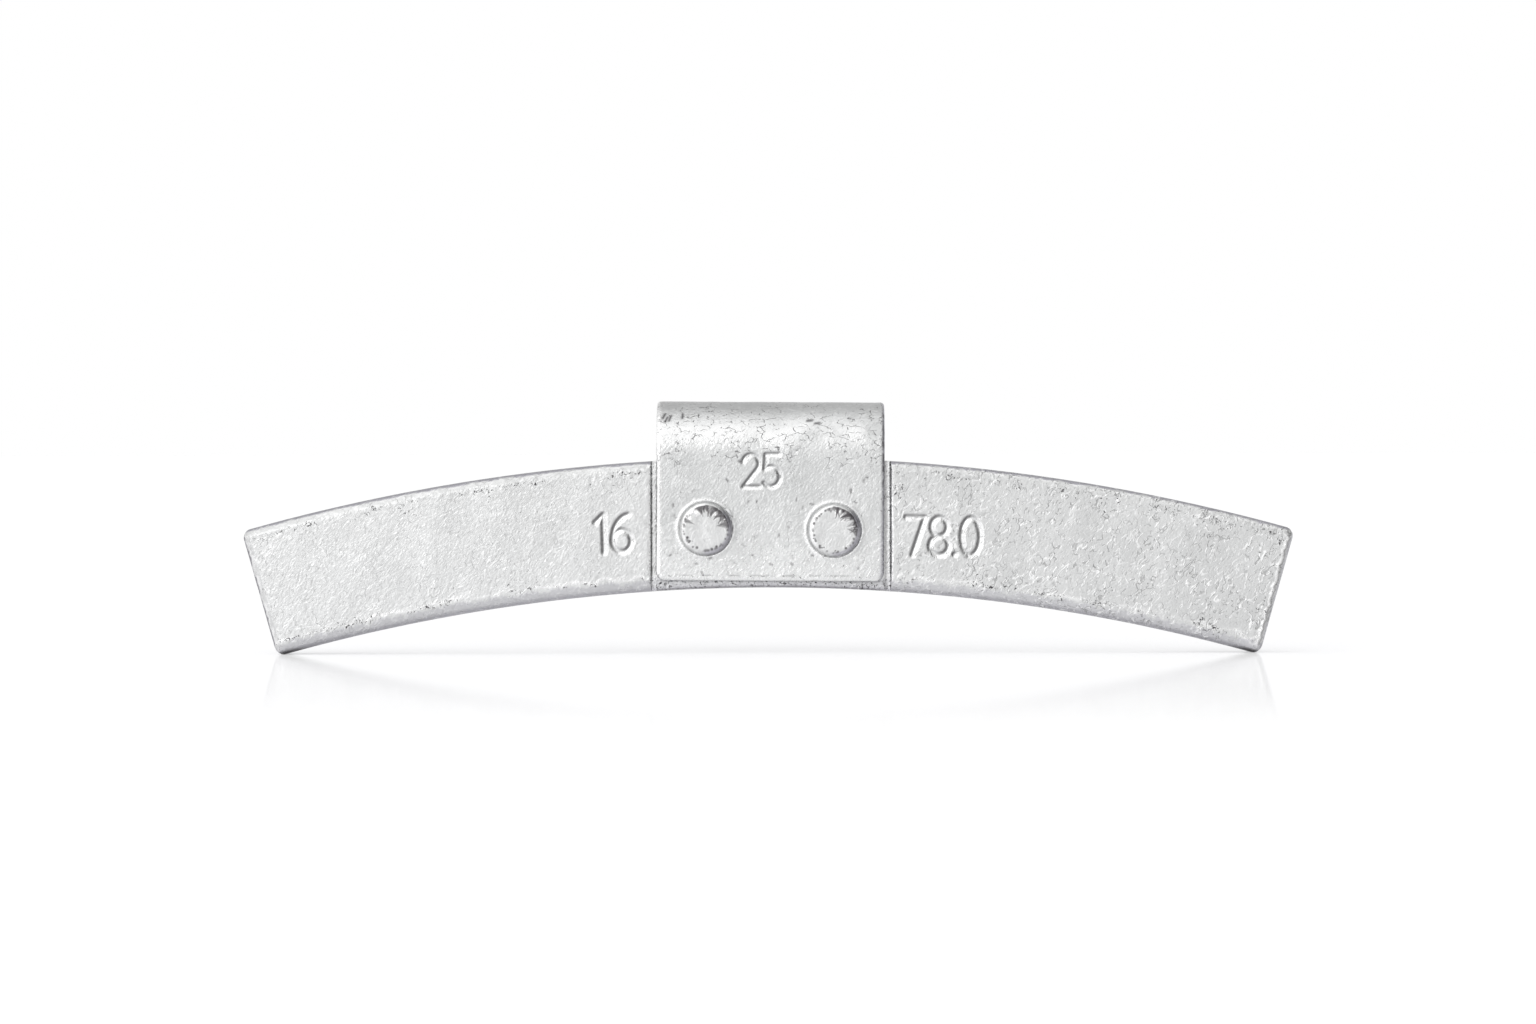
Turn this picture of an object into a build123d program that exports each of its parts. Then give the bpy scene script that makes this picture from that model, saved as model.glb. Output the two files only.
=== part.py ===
"""Clip-on wheel balance weight: a curved steel bar with a spring-steel rim clip staked to its face.

The weight stands on its two toes like an arch. +X runs along the bar, +Y points from the visible
face towards the wheel, +Z points away from the wheel's axis. The origin is on the floor, midway
between the toes and midway through the depth. Millimetres and degrees.
"""

import os
from math import asin, cos, degrees, radians, tan

from build123d import *

# Bar: a ring sector, concentric with the wheel
inner_radius = 203.0
bar_height = 14.6
bar_half_angle = 15.75
bar_thickness = 5.6

# Bar: edges, rolled over by the press on the face and sharper at the back
face_top_radius = 1.05
face_bottom_radius = 1.5
end_radius = 1.0
back_chamfer = 0.3

# Channel pressed across the bar's face, where the clip is seated with a gap at each side
channel_offset = 0.3
clip_side_gap = 0.6
channel_depth = 1.1
channel_draft = 5.0
channel_shoulder_radius = 0.3
channel_root_radius = 0.25

# Clip: one strip, from its seat in the channel up and over the lip of the rim
clip_width = 25.6
clip_thickness = 1.1
clip_foot_gap = 0.75
clip_rise = 6.25
clip_offset = 0.2
clip_turn = 0.4
clip_edge_radius = 0.4
clip_foot_corner = 1.1
hook_gap = 8.8
hook_lean = 15.0
hook_leg = 3.2
tip_bend_radius = 1.25
tip_flare = 25.0
tip_length = 2.0
tip_corner = 1.8

# Studs: pushed out of the bar from behind and staked over the clip
stud_pitch = 14.4
stud_line_turn = 0.85
stud_below_top = 8.05
stud_radius = 2.4
stud_clearance = 0.05
head_radius = 2.95
head_height = 0.75
head_edge_radius = 0.65
punch_radius = 2.3
punch_depth = 2.2
punch_nose_chamfer = 0.4

# Depths are measured from the bar's face, and levels from the wheel's axis
outer_radius = inner_radius + bar_height
clip_face = channel_depth - clip_thickness
hook_radius = hook_gap / 2 + clip_thickness
hook_level = outer_radius + clip_rise - hook_radius
clip_foot_level = inner_radius + clip_foot_gap
stud_level = outer_radius - stud_below_top
middle_depth = clip_face + hook_radius - head_height / 2
toe_angle = bar_half_angle - degrees(asin(end_radius / (inner_radius + end_radius)))
toe_level = (inner_radius + end_radius) * cos(radians(toe_angle)) - end_radius


def bar_blank():
    """The plain bar: its section turned about the wheel's axis, then eased at its ends and back."""
    section = Rectangle(bar_thickness, bar_height, align=Align.MIN)
    section = fillet(section.vertices().sort_by_distance((0, 0))[0], face_bottom_radius)
    section = fillet(section.vertices().sort_by_distance((0, bar_height))[0], face_top_radius)
    section = Plane.YZ * Pos(0, inner_radius) * section
    blank = revolve(Rot(0, -bar_half_angle, 0) * section, Axis.Y, 2 * bar_half_angle)
    ends = blank.faces().sort_by(Axis.X)
    end_edges = ends[0].edges() + ends[-1].edges()
    back_depth = bar_thickness - back_chamfer
    blank = fillet(end_edges.filter_by(lambda edge: edge.center().Y < back_depth), end_radius)
    return chamfer(blank.faces().sort_by(Axis.Y)[-1].edges(), back_chamfer)


def channel_cutter():
    """What the press displaced for the clip: drafted walls, round roots and rounded shoulders."""
    floor_x = clip_width / 2 + clip_side_gap
    mouth_x = floor_x + channel_depth * tan(radians(channel_draft))
    far_x = mouth_x + 2 * channel_shoulder_radius
    half = [(far_x, -channel_depth), (far_x, 0), (mouth_x, 0), (floor_x, channel_depth)]
    outline = half + [(-x, depth) for x, depth in reversed(half)]
    section = make_face(Polyline(*outline, close=True))
    for side in (-1, 1):
        shoulder = section.vertices().sort_by_distance((side * mouth_x, 0))[0]
        section = fillet(shoulder, channel_shoulder_radius)
        root = section.vertices().sort_by_distance((side * floor_x, channel_depth))[0]
        section = fillet(root, channel_root_radius)
    section = Pos(channel_offset, 0, inner_radius - bar_height) * section
    return extrude(section, 3 * bar_height, dir=(0, 0, 1))


def clip_seat(turn):
    """A frame midway between the studs and a little off the bar's middle, turned about its Y axis."""
    return Location((clip_offset, 0, stud_level), (0, turn, 0))


def stud_places():
    """The two stud axes, on a line that slopes a little."""
    return [clip_seat(stud_line_turn) * Pos(side * stud_pitch / 2, 0, 0) for side in (-1, 1)]


def peg(radius, near_depth, far_depth):
    """A plain round peg along Y between two depths."""
    return extrude(Plane.XZ.offset(-far_depth) * Circle(radius), far_depth - near_depth)


def front_rim(disc):
    """The round edge of a peg that lies nearest the viewer."""
    return disc.edges().filter_by(GeomType.CIRCLE).sort_by(Axis.Y)[0]


def weight_body():
    """The bar with its channel, its two staked studs and the punch marks behind them."""
    shank = peg(stud_radius, clip_face, bar_thickness - punch_depth)
    head = peg(head_radius, clip_face - head_height, clip_face)
    head = fillet(front_rim(head), head_edge_radius)
    punch = peg(punch_radius, bar_thickness - punch_depth, bar_thickness + punch_depth)
    punch = chamfer(front_rim(punch), punch_nose_chamfer)
    body = bar_blank() - channel_cutter()
    for place in stud_places():
        body = body + place * shank + place * head - place * punch
    return body


def strip_side(depth, curl_radius, bend_radius):
    """One face of the bent strip, drawn from the foot of its seat to the tip of its hook."""
    seat = Line((depth, clip_foot_level), (depth, hook_level))
    curl = JernArc(seat @ 1, seat % 1, curl_radius, -(180 + hook_lean))
    leg = PolarLine(curl @ 1, hook_leg, direction=curl % 1)
    bend = JernArc(leg @ 1, leg % 1, bend_radius, hook_lean + tip_flare)
    tip = PolarLine(bend @ 1, tip_length, direction=bend % 1)
    return [seat, curl, leg, bend, tip]


def bent_strip():
    """The clip before it is pierced or eased: its two faces, closed at foot and tip."""
    outside = strip_side(clip_face, hook_radius, tip_bend_radius)
    inside = strip_side(channel_depth, hook_radius - clip_thickness, tip_bend_radius + clip_thickness)
    foot = Line(outside[0] @ 0, inside[0] @ 0)
    tip = Line(outside[-1] @ 1, inside[-1] @ 1)
    section = make_face(Curve() + outside + inside + foot + tip)
    return extrude(Plane.YZ * section, clip_width / 2, both=True)


def cut_ends(clip):
    """The strip's two cut ends: the foot, then the tip of the hook."""
    flat = clip.faces().filter_by(GeomType.PLANE).filter_by(Axis.X, reverse=True)
    return flat.sort_by(SortBy.AREA)[:2].sort_by(Axis.Y)


def outline_edges(clip):
    """The edges round both faces of the strip: those that no two of its narrow sides share."""
    sides = clip.faces().filter_by(Axis.X)
    corners = clip.faces().filter_by(GeomType.CYLINDER)
    corners = corners.filter_by(lambda face: abs(face.axis_of_rotation.direction.X) < 0.5)
    edges = [edge for face in sides + corners + cut_ends(clip) for edge in face.edges()]
    return [edge for edge in edges if sum(edge.is_same(other) for other in edges) == 1]


def rim_clip():
    """The clip with round corners, eased edges and stud holes, turned a little in its seat."""
    clip = bent_strip()
    foot, tip = cut_ends(clip)
    for end, corner in ((foot, clip_foot_corner), (tip, tip_corner)):
        clip = fillet(end.edges().filter_by(Axis.X, reverse=True), corner)
    clip = fillet(outline_edges(clip), clip_edge_radius)
    clip = clip_seat(clip_turn) * Pos(0, 0, -stud_level) * clip
    hole = peg(stud_radius + stud_clearance, clip_face - clip_thickness, channel_depth + clip_thickness)
    for place in stud_places():
        clip -= place * hole
    return clip


os.makedirs("parts", exist_ok=True)
stand = Pos(0, -middle_depth, -toe_level)
export_step(stand * weight_body(), "parts/weight_body.step")
export_step(stand * rim_clip(), "parts/rim_clip.step")
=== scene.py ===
# %% [markdown]
# # A clip-on wheel balance weight
#
# A curved steel bar with a spring clip staked across its face. The clip hooks over the lip of a car
# wheel's rim, and the bar's mass balances the wheel. The imported CAD solids give every place and size.
# Here each solid is replaced by a finer mesh that carries what the press and the coating left on the
# real surface: crinkles, pits, stamped numbers and worn edges. Shade and highlights are painted on it too.

from math import ceil, cos, pi, radians, sin, tan

import bpy
import numpy as np
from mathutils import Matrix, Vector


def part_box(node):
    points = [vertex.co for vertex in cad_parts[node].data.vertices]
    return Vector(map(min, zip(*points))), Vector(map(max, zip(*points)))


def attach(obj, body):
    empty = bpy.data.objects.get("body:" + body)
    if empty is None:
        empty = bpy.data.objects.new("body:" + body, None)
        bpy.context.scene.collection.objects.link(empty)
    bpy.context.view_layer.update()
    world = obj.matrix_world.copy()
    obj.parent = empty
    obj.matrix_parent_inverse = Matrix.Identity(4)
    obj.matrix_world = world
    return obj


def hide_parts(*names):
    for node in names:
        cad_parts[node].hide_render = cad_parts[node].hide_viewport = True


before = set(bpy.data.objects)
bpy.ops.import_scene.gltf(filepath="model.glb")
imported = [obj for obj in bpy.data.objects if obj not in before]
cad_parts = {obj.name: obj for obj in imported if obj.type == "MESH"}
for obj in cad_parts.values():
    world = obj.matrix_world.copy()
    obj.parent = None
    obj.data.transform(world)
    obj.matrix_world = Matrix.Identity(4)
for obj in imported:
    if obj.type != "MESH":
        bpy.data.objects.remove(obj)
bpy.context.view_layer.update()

# %% [markdown]
# ## Sizes
#
# The solids' boxes say where the bar's face, the wheel's axis and the studs are, so a few repeated
# sizes are enough. Everything is worked out in millimetres and degrees and turned into metres when a
# mesh is made, because a crinkle 0.02 mm high is easier to think about than one of 0.00002 m.

# %% Sizes of the bar, in millimetres
MM = 0.001
inner_radius = 203.0
bar_height = 14.6
bar_thickness = 5.6
bar_half_angle = radians(15.75)
outer_radius = inner_radius + bar_height
middle_radius = inner_radius + bar_height / 2
head_height = 0.75

bar_low, bar_high = (np.array(corner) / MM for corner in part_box("weight_body"))
face_y = bar_low[1] + head_height
axis_z = bar_high[2] - outer_radius
print(f"bar's face at y = {face_y:.3f} and wheel's axis at z = {axis_z:.2f}")

# %% [markdown]
# ## Relief maps
#
# A coated pressing is never flat. Its crinkles could be a bump texture, but then they would vanish from
# the mesh itself, and the light would miss their shadows. So each visible face gets a map, drawn cell by
# cell with numpy, and the vertices of the mesh read their own displacement from it. More layers of the
# map say where the coat is stained or worn, and where shade and highlights are painted on. They go to
# the material as numbers on the vertices.

# %% A soft step and a soft band
def ease(value):
    """A soft step from 0 to 1."""
    value = np.clip(value, 0, 1)
    return value * value * (3 - 2 * value)


def band(distance, middle, width):
    """One at a distance from a line, fading out to both sides."""
    return np.exp(-(((distance - middle) / width) ** 2))


# %% A map of heights, stains, wear, painted shade and painted highlights
class ReliefMap:
    """Height, stains and painted shade, wear, and painted highlights over a flat sheet, in millimetres, to
    be laid on a piece.
    """

    pitch = 0.06

    def __init__(self, low, high):
        self.low = low
        columns, rows = (ceil((b - a) / self.pitch) + 1 for a, b in zip(low, high))
        self.u = low[0] + self.pitch * np.arange(columns)[None, :]
        self.v = low[1] + self.pitch * np.arange(rows)[:, None]
        self.height, self.stain, self.wear, self.bright = np.zeros((4, rows, columns))

    def read(self, layer, u, v):
        """The layer's value at any point, blended from the four cells round it."""
        rows, columns = layer.shape
        x = np.clip((u - self.low[0]) / self.pitch, 0, columns - 1.001)
        y = np.clip((v - self.low[1]) / self.pitch, 0, rows - 1.001)
        i, j = x.astype(int), y.astype(int)
        x, y = x - i, y - j
        below = (1 - x) * layer[j, i] + x * layer[j, i + 1]
        above = (1 - x) * layer[j + 1, i] + x * layer[j + 1, i + 1]
        return (1 - y) * below + y * above

    def near(self, points, reach):
        """The cells within reach of a broken line, and how far from it each one is."""
        points = np.array(points, float)
        low = (points.min(axis=0) - reach - self.low) / self.pitch
        high = (points.max(axis=0) + reach - self.low) / self.pitch
        columns = slice(max(0, int(low[0])), max(0, int(high[0]) + 2))
        rows = slice(max(0, int(low[1])), max(0, int(high[1]) + 2))
        u, v = self.u[:, columns], self.v[rows]
        distance = np.full(np.broadcast(u, v).shape, np.inf)
        for start, end in zip(points[:-1], points[1:]):
            run = end - start
            along = ((u - start[0]) * run[0] + (v - start[1]) * run[1]) / max(run @ run, 1e-9)
            along = np.clip(along, 0, 1)
            gap = np.hypot(u - start[0] - along * run[0], v - start[1] - along * run[1])
            distance = np.minimum(distance, gap)
        return (rows, columns), distance

    def mark(self, points, width, height, stain):
        """A scratch, pit or ridge along a broken line."""
        window, distance = self.near(points, 3 * width)
        profile = band(distance, 0, width)
        self.height[window] += height * profile
        self.stain[window] = np.maximum(self.stain[window], stain * profile)


# %% [markdown]
# ## Crinkles
#
# Two kinds of randomness are needed. Waves of one length, made by filtering noise in the Fourier domain,
# give the soft unevenness. The lines where such waves cross zero are smooth curves of any direction, and
# broken up by a second noise they look like the short creases of the coat.

# %% Waves and creases
def waves(shape, length, seed, spread=0.35):
    """Random waves of about one length in millimetres, with a standard deviation of one."""
    white = np.random.default_rng(seed).standard_normal(shape)
    down = np.fft.fftfreq(shape[0], ReliefMap.pitch)[:, None]
    across = np.fft.rfftfreq(shape[1], ReliefMap.pitch)[None, :]
    keep = band(np.hypot(down, across) * length, 1, spread)
    field = np.fft.irfft2(np.fft.rfft2(white) * keep, shape)
    return field / field.std()


def creases(shape, length, width, share, seed):
    """Short curved lines of one width, covering a share of the sheet."""
    field = waves(shape, length, seed)
    down, across = np.gradient(field, ReliefMap.pitch)
    distance = np.abs(field) / (np.hypot(down, across) + 0.4 / length)
    broken = waves(shape, 0.8 * length, seed + 1)
    broken = ease((broken - np.quantile(broken, 1 - share)) / 0.5)
    return band(distance, 0, width) * broken


# %% [markdown]
# ## Stamped numbers
#
# The press marks such weights with plain figures: the mass in grams, the rim's size in inches and the
# clip's width in millimetres. Text objects could be cut out of the mesh, but a round-nosed punch leaves
# soft grooves. So each figure is drawn as broken lines and cut into the height map, with a slightly raised
# lip. Shade is painted on the upper left wall of a groove and a highlight on the lower right one.

# %% Strokes of the figures
def bow(x, y, across, up, start, end):
    """Points along part of an ellipse, from one angle to another in degrees."""
    turn = np.radians(np.linspace(start, end, 25))
    return np.stack([x + across * np.cos(turn), y + up * np.sin(turn)], axis=1)


FIGURES = {
    "0": [bow(0.25, 0.5, 0.25, 0.5, 0, 360)],
    "1": [[(0.05, 0.8), (0.27, 1.0), (0.27, 0.0)]],
    "2": [np.vstack([bow(0.25, 0.73, 0.25, 0.27, 165, -35), [(0.0, 0.0), (0.5, 0.0)]])],
    "5": [np.vstack([[(0.47, 1.0), (0.07, 1.0), (0.04, 0.55)], bow(0.22, 0.31, 0.28, 0.31, 115, -140)])],
    "6": [bow(0.25, 0.29, 0.25, 0.29, 0, 360), bow(0.5, 0.29, 0.5, 0.7, 180, 98)],
    "7": [[(0.0, 1.0), (0.5, 1.0), (0.18, 0.0)]],
    "8": [bow(0.25, 0.75, 0.21, 0.25, 0, 360), bow(0.25, 0.25, 0.25, 0.25, 0, 360)],
    ".": [[(0.02, 0.02), (0.04, 0.02)]],
}
FIGURE_WIDTHS = {"1": 0.36, ".": 0.06}
FIGURE_GAP = 0.14


def stamp(relief, text, left, foot, tall, tilt, depth, groove):
    """Cuts a number into a relief map, from the left end of its foot."""
    turn = np.array([[cos(tilt), sin(tilt)], [-sin(tilt), cos(tilt)]])
    reach = np.full(relief.height.shape, np.inf)
    for figure in text:
        for stroke in FIGURES[figure]:
            points = (np.array(stroke) * tall) @ turn + (left, foot)
            window, distance = relief.near(points, 1.2)
            reach[window] = np.minimum(reach[window], distance)
        advance = (FIGURE_WIDTHS.get(figure, 0.5) + FIGURE_GAP) * tall
        left += advance * cos(tilt)
        foot += advance * sin(tilt)
    cut = ease(1 - reach / groove)
    lip = band(reach, 1.25 * groove, 0.35 * groove)
    relief.height += 0.05 * depth * lip - depth * cut
    # Painted shade on the upper left wall of each groove, which faces away from the light, and a painted
    # highlight on the lower right wall.
    up, across = np.gradient(cut, relief.pitch)
    wall = 0.7 * groove * (0.75 * across - 0.65 * up)
    relief.stain = np.maximum(relief.stain, 0.75 * ease(1.15 * wall))
    relief.bright = np.maximum(relief.bright, ease(-2.0 * wall))
    print(f"stamped {text}, ending at {left:.1f}")


# %% [markdown]
# ## The bar's relief
#
# The face of the real bar is bright and leathery. It is crinkled all over, more so along its edges, where
# the coat has also been knocked and dark pits lie in broken lines about a millimetre in. The shear that
# cut the bar off left a ragged burr at its right end, with a painted highlight on it and a painted shadow
# beside it. The map is drawn in the plane of the face, so the figures stand upright as on the real one.

# %% Crinkle the bar's face
bar_map = ReliefMap((-60.0, -1.0), (60.0, 23.0))
bar_shape = bar_map.height.shape
u, v = bar_map.u, bar_map.v
radius_there, angle_there = np.hypot(u, v - axis_z), np.arctan2(u, v - axis_z)
from_top = outer_radius - radius_there
from_foot = radius_there - inner_radius
from_ends = middle_radius * (bar_half_angle - np.abs(angle_there))
from_edge = np.minimum(np.minimum(from_top, from_foot), from_ends)
near_edge = band(np.maximum(from_edge - 0.8, 0), 0, 0.9)

bold_creases = creases(bar_shape, 2.0, 0.14, 0.3, 31) - creases(bar_shape, 1.6, 0.13, 0.3, 41)
bar_map.height += 0.012 * waves(bar_shape, 6.0, 51) + 0.002 * waves(bar_shape, 1.4, 61)
bar_map.height += 0.008 * bold_creases * (1 + 2.0 * near_edge)
bar_map.height += 0.008 * waves(bar_shape, 0.9, 66) * near_edge
plain_height = 0.01 * waves(bar_shape, 6.0, 52) + 0.003 * waves(bar_shape, 1.6, 62)
print(f"bar's crinkles stand {bar_map.height.std():.4f} mm from flat")

# %% Wear along the bar's edges, and a painted highlight above its foot
patchy = [0.35 + 0.65 * ease(0.5 + 0.6 * waves(bar_shape, 6.0, seed)) for seed in (71, 72, 73)]
wander = 0.16 * waves(bar_shape, 2.5, 74)
bar_map.wear += band(from_top, 1.25 + wander, 0.3) * patchy[0]
bar_map.wear += band(from_foot, 1.6 + wander, 0.32) * patchy[1]
bar_map.wear += 0.8 * band(from_ends, 0.95 + wander, 0.25) * patchy[2]
bar_map.wear += 0.55 * band(from_edge, 2.2, 1.4) * patchy[1] * patchy[2]
by_channel = np.hypot((u - 14.6) / 0.9, (v - 18.0) / 2.2)
bar_map.wear = np.clip(bar_map.wear + 0.8 * band(by_channel, 0, 1), 0, 1)
# A painted highlight along a ragged line about 1.75 mm above the bar's foot.
bar_map.bright += 0.7 * band(from_foot, 1.75 + wander, 0.16) * patchy[2]
bar_map.height -= 0.02 * bar_map.wear * ease(0.5 + 0.8 * waves(bar_shape, 0.7, 75))
print(f"mean wear of the bar's face: {bar_map.wear.mean():.3f}")

# %% Scratches, burr and numbers on the bar
scratches = [
    ((35.3, 18.2), (37.2, 6.2)), ((-45.0, 9.0), (-42.5, 12.5)), ((-30.5, 9.5), (-27.0, 10.6)),
    ((46.5, 10.5), (49.0, 6.8)), ((27.5, 17.5), (31.0, 16.2)), ((-52.0, 6.0), (-50.9, 2.6)),
]
for scratch in scratches:
    bar_map.mark(scratch, width=0.07, height=-0.025, stain=0.1)

draw = np.random.default_rng(81)
burr_inset = 0.62
burr_radius = np.arange(inner_radius + 1.1, outer_radius - 0.7, 0.35)
burr_angle = bar_half_angle - (burr_inset + 0.1 * draw.standard_normal(len(burr_radius))) / middle_radius
burr = np.stack([burr_radius * np.sin(burr_angle), burr_radius * np.cos(burr_angle) + axis_z], axis=1)
for start, end in zip(burr[:-1], burr[1:]):
    bar_map.mark([start, end], width=0.13, height=draw.uniform(0.03, 0.09), stain=0.0)
# A painted highlight on the burr, and a painted shadow just to its right.
window, distance = bar_map.near(burr - (0.08, 0), 0.5)
bar_map.bright[window] = np.maximum(bar_map.bright[window], band(distance, 0, 0.14))
bar_map.mark(burr + (0.2, 0), width=0.08, height=0.0, stain=0.5)
print("the burr has", len(burr), "points")

stamp(bar_map, "16", left=-19.5, foot=11.4, tall=4.2, tilt=radians(1.5), depth=0.22, groove=0.44)
stamp(bar_map, "78.0", left=15.4, foot=11.1, tall=4.2, tilt=radians(-0.8), depth=0.22, groove=0.44)

# %% [markdown]
# ## The bar
#
# A ring sector with rounded edges could be lathed or swept along a curve. Here its section is drawn once
# as a ring of points with outward directions, and repeated at stations along the arc, which gives even
# quads where the crinkles need them. Near the clip's channel the stations stand upright, because the
# channel's walls do, and towards the ends they turn to point at the wheel's axis.

# %% The bar's section: depth, radius and outward direction of each point
face_top_radius = 1.05
face_bottom_radius = 1.5
back_chamfer = 0.3
edge_row = 0.15


def straight(start, end, count, outward):
    """Evenly spaced section points on a straight run, without its end."""
    share = np.linspace(0, 1, count, endpoint=False)[:, None]
    points = (1 - share) * np.array(start) + share * np.array(end)
    return np.hstack([points, np.tile(outward, (count, 1))])


def rounding(centre, radius, start, end, count):
    """Section points round a quarter of a circle, without its end."""
    turn = np.radians(np.linspace(start, end, count, endpoint=False))
    outward = np.stack([np.cos(turn), np.sin(turn)], axis=1)
    return np.hstack([np.array(centre) + radius * outward, outward])


foot, top = inner_radius, outer_radius
foot_back, top_back = foot + back_chamfer, top - back_chamfer
deep, back_edge = bar_thickness, bar_thickness - back_chamfer
near_edge_depth = back_edge - edge_row
low_centre = (face_bottom_radius, foot + face_bottom_radius)
high_centre = (face_top_radius, top - face_top_radius)
section = np.vstack([
    straight((back_edge, foot), (near_edge_depth, foot), 1, (0.4, -0.92)),
    straight((near_edge_depth, foot), (face_bottom_radius, foot), 6, (0, -1)),
    rounding(low_centre, face_bottom_radius, 270, 180, 16),
    straight((0, low_centre[1]), (0, high_centre[1]), 80, (-1, 0)),
    rounding(high_centre, face_top_radius, 180, 90, 12),
    straight((face_top_radius, top), (near_edge_depth, top), 6, (0, 1)),
    straight((near_edge_depth, top), (back_edge, top), 1, (0, 1)),
    straight((back_edge, top), (deep, top_back), 1, (0.4, 0.92)),
    straight((deep, top_back), (deep, top_back - edge_row), 1, (0.92, 0.4)),
    straight((deep, top_back - edge_row), (deep, foot_back + edge_row), 9, (1, 0)),
    straight((deep, foot_back + edge_row), (deep, foot_back), 1, (1, 0)),
    straight((deep, foot_back), (back_edge, foot), 1, (0.92, -0.4)),
])
print("the bar's section has", len(section), "points")

# %% The channel that seats the clip
clip_width = 25.6
clip_side_gap = 0.6
channel_offset = 0.3
channel_depth = 1.1
channel_draft = radians(5)
channel_floor = clip_width / 2 + clip_side_gap
channel_mouth = channel_floor + channel_depth * tan(channel_draft)


def corner_curve(before, corner, after, count):
    """A smooth curve that rounds off a corner between two points."""
    t = np.linspace(0, 1, count)[:, None]
    return (1 - t) ** 2 * np.array(before) + 2 * t * (1 - t) * np.array(corner) + t ** 2 * np.array(after)


channel_wall = np.vstack([
    corner_curve((channel_floor - 0.2, channel_depth), (channel_floor, channel_depth),
                 (channel_floor + 0.02, channel_depth - 0.2), 6),
    corner_curve((channel_mouth - 0.024, 0.275), (channel_mouth, 0), (channel_mouth + 0.3, 0), 7),
])
floor_reach, wall_end = channel_wall[0, 0], channel_wall[-1, 0]
print(f"half of the channel's mouth: {wall_end:.2f}")

# %% Stations along the bar: place along the arc, and depth of the channel there
end_radius = 1.0
bar_end = middle_radius * bar_half_angle - end_radius
arm_step, figure_step, open_step, hidden_step = 0.18, 0.105, 0.1, 0.3
figures_left, figures_right = -20.2, 24.6
hidden_left, hidden_right = -11.0, 11.4


def steps(start, end, size):
    """Evenly spaced places from start up to, but not at, end."""
    return np.linspace(start, end, max(1, round((end - start) / size)), endpoint=False)


left_arm = np.concatenate([
    steps(-bar_end, figures_left, arm_step),
    steps(figures_left, channel_offset - wall_end - 0.05, figure_step)])
right_arm = np.concatenate([
    steps(channel_offset + wall_end + 0.1, figures_right, figure_step),
    steps(figures_right, bar_end, arm_step), [bar_end]])
channel_middle = np.concatenate([
    steps(channel_offset - floor_reach + 0.1, hidden_left, open_step),
    steps(hidden_left, hidden_right, hidden_step),
    steps(hidden_right, channel_offset + floor_reach, open_step)])
stations = np.vstack([
    np.stack([left_arm, np.zeros_like(left_arm)], axis=1),
    (channel_wall * (-1, 1) + (channel_offset, 0))[::-1],
    np.stack([channel_middle, np.full_like(channel_middle, channel_depth)], axis=1),
    channel_wall + (channel_offset, 0),
    np.stack([right_arm, np.zeros_like(right_arm)], axis=1),
])
print("the bar has", len(stations), "stations")


# %% Points of the bar between its rounded ends
def place_on_bar(depth, radius, angle):
    """A point of the bar from its depth, radius and angle round the wheel's axis."""
    return np.stack([radius * np.sin(angle), depth + face_y, radius * np.cos(angle) + axis_z], axis=-1)


depth, radius, out_depth, out_radius = (column[None, :] for column in section.T)
along, channel = (column[:, None] for column in stations.T)
upright_to, leaning_from = 14.5, 35.0
upright = ease((leaning_from - np.abs(along)) / (leaning_from - upright_to))
angle = (1 - upright) * along / middle_radius + upright * np.arcsin(along / radius)
sunk = np.maximum(depth, channel)
points = place_on_bar(sunk, radius, angle)
outward = np.stack([out_radius * np.sin(angle), out_depth + 0 * angle, out_radius * np.cos(angle)], axis=-1)
in_channel = ease((sunk - depth) / 0.05) * np.ones_like(angle)
print("stations and points round each:", points.shape[:2])

# %% Rounded ends of the bar, with the back's chamfer carried round them
bend_rows = 14
flat_shares = (0.98, 0.85, 0.6, 0.35, 0.12)
on_back = section[None, :, 0] > deep - 0.01
easing = np.where(on_back, end_radius - back_chamfer, end_radius)
pull_depth = np.where(on_back, 0, np.minimum(out_depth, 0))
pull_radius = np.where(out_depth > 0.1, np.sign(out_radius), out_radius)
pull_radius = np.where(on_back, (radius - middle_radius) / (top_back - middle_radius), pull_radius)
turn = np.linspace(0, pi / 2, bend_rows + 1)[1:, None]
inset, from_end = easing * (1 - np.cos(turn)), end_radius - easing * np.sin(turn)

end_points, end_outward = [], []
for side in (-1, 1):
    tip = side * bar_half_angle
    along_arc = side * np.array([cos(tip), 0, -sin(tip)])
    ring = place_on_bar(depth - inset * pull_depth, radius - inset * pull_radius, tip)
    ring = ring - from_end[..., None] * along_arc
    flat = place_on_bar(np.where(on_back, back_edge, depth - inset[-1] * pull_depth),
                        radius - inset[-1] * pull_radius, tip)
    centre = flat.mean(axis=1)
    inner = [(centre + (flat - centre) * share)[0] for share in flat_shares]
    sideways = np.stack([out_radius * sin(tip), out_depth, out_radius * cos(tip)], axis=-1)
    lean = np.cos(turn)[..., None] * sideways + np.sin(turn)[..., None] * along_arc
    end_points.append(np.concatenate([ring, inner]))
    straight_out = np.broadcast_to(along_arc, (len(flat_shares), len(section), 3))
    end_outward.append(np.concatenate([lean, straight_out]))
print("each end has", len(end_points[0]), "rings")


# %% A smooth mesh object from points
def add_object(name, data):
    """A new object in the scene."""
    made = bpy.data.objects.new(name, data)
    bpy.context.collection.objects.link(made)
    return made


def make_piece(name, points, faces, layers):
    """A smooth mesh object from points in millimetres, with a number for each point in each layer."""
    mesh = bpy.data.meshes.new(name)
    mesh.from_pydata((points.reshape(-1, 3) * MM).tolist(), [], faces)
    for layer, values in layers.items():
        data = mesh.attributes.new(layer, "FLOAT", "POINT").data
        data.foreach_set("value", np.ravel(values).astype(np.float32))
    mesh.polygons.foreach_set("use_smooth", np.ones(len(mesh.polygons), bool))
    mesh.validate()
    print(name, "has", len(mesh.polygons), "faces")
    return add_object(name, mesh)


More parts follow.
